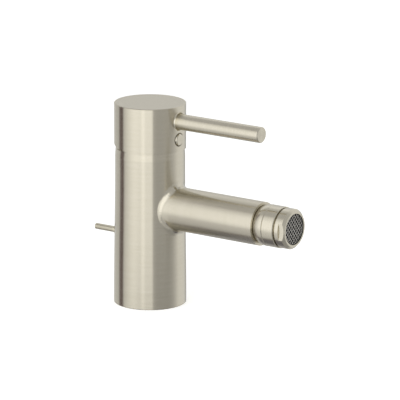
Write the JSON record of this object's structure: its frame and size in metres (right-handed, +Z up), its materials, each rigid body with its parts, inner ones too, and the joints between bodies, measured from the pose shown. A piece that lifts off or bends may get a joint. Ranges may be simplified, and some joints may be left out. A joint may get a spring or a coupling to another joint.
{
  "type": "bidet mixer",
  "caption": "Single-lever bidet mixer with a round column, a straight spout with a swivelling ball outlet, a bar lever on a cylindrical cap and a bent pull rod behind.",
  "frame": {"origin": "on the deck, in the middle of the underside of the foot", "axes": "+Z up, spout and lever toward -Y, pull rod toward +Y, +X to the side"},
  "size_m": [0.0476, 0.1586, 0.1342],
  "materials": {
    "brushed_nickel": "circumferentially brushed warm nickel plate",
    "rod_nickel": "brushed nickel plate",
    "steel": "plain turned steel",
    "screen_steel": "fine stainless screen",
    "brass": "machined",
    "ceramic": "lapped",
    "nylon": "moulded",
    "red_plastic": "moulded",
    "dark_plastic": "moulded dark grey",
    "rubber": "matt"
  },
  "bodies": {
    "body": {"mixer_body": "brushed_nickel", "neck_ring": "brushed_nickel", "base_seal": "rubber", "cartridge_base": "nylon", "port_seals": "rubber", "cartridge_housing": "nylon", "fixed_ceramic_disc": "ceramic", "cartridge_nut": "brass", "temperature_limit_ring": "red_plastic", "swivel_ball": "brass", "ball_seal": "rubber", "rod_guide": "nylon"},
    "cartridge_turn": {"stem_holder": "nylon", "tilt_pin": "steel"},
    "disc": {"moving_ceramic_disc": "ceramic", "disc_carrier": "nylon"},
    "handle": {"stem": "brass", "handle_cap": "brushed_nickel", "lever": "brushed_nickel", "grub_screw": "steel", "index_plug": "brushed_nickel"},
    "outlet_yaw": {"front_liner": "nylon"},
    "outlet_pitch": {"rear_liner": "nylon"},
    "outlet": {"swivel_collar": "brushed_nickel", "swivel_sleeve": "brushed_nickel", "outlet_nut": "brushed_nickel", "aerator_insert": "dark_plastic", "aerator_screen": "screen_steel", "outlet_washer": "rubber"},
    "rod": {"pull_rod": "rod_nickel"}
  },
  "joints": [
    {"name": "handle_turn", "type": "hinge", "parent": "body", "child": "cartridge_turn", "pos_m": [0, 0, 0.09696], "axis": [0, 0, 1], "range_deg": [-45, 45]},
    {"name": "handle_lift", "type": "hinge", "parent": "cartridge_turn", "child": "handle", "pos_m": [0, 0, 0.09696], "axis": [-1, 0, 0], "range_deg": [0, 12]},
    {"name": "disc_slide", "type": "slide", "parent": "cartridge_turn", "child": "disc", "axis": [0, -1, 0], "range_m": [0, 0.0015]},
    {"name": "outlet_side", "type": "hinge", "parent": "body", "child": "outlet_yaw", "pos_m": [0, -0.096, 0.066], "axis": [0, 0, 1], "range_deg": [-12, 12]},
    {"name": "outlet_nod", "type": "hinge", "parent": "outlet_yaw", "child": "outlet_pitch", "pos_m": [0, -0.096, 0.066], "axis": [-1, 0, 0], "range_deg": [-12, 12]},
    {"name": "outlet_spin", "type": "hinge", "parent": "outlet_pitch", "child": "outlet", "pos_m": [0, -0.096, 0.066], "axis": [0, -1, 0], "continuous": true},
    {"name": "rod_lift", "type": "slide", "parent": "body", "child": "rod", "axis": [0, 0.342, 0.9397], "range_m": [0, 0.014]}
  ],
  "couplings": [
    {"joint": "disc_slide", "follows": "handle_lift", "m_per_rad": 0.00708}
  ]
}
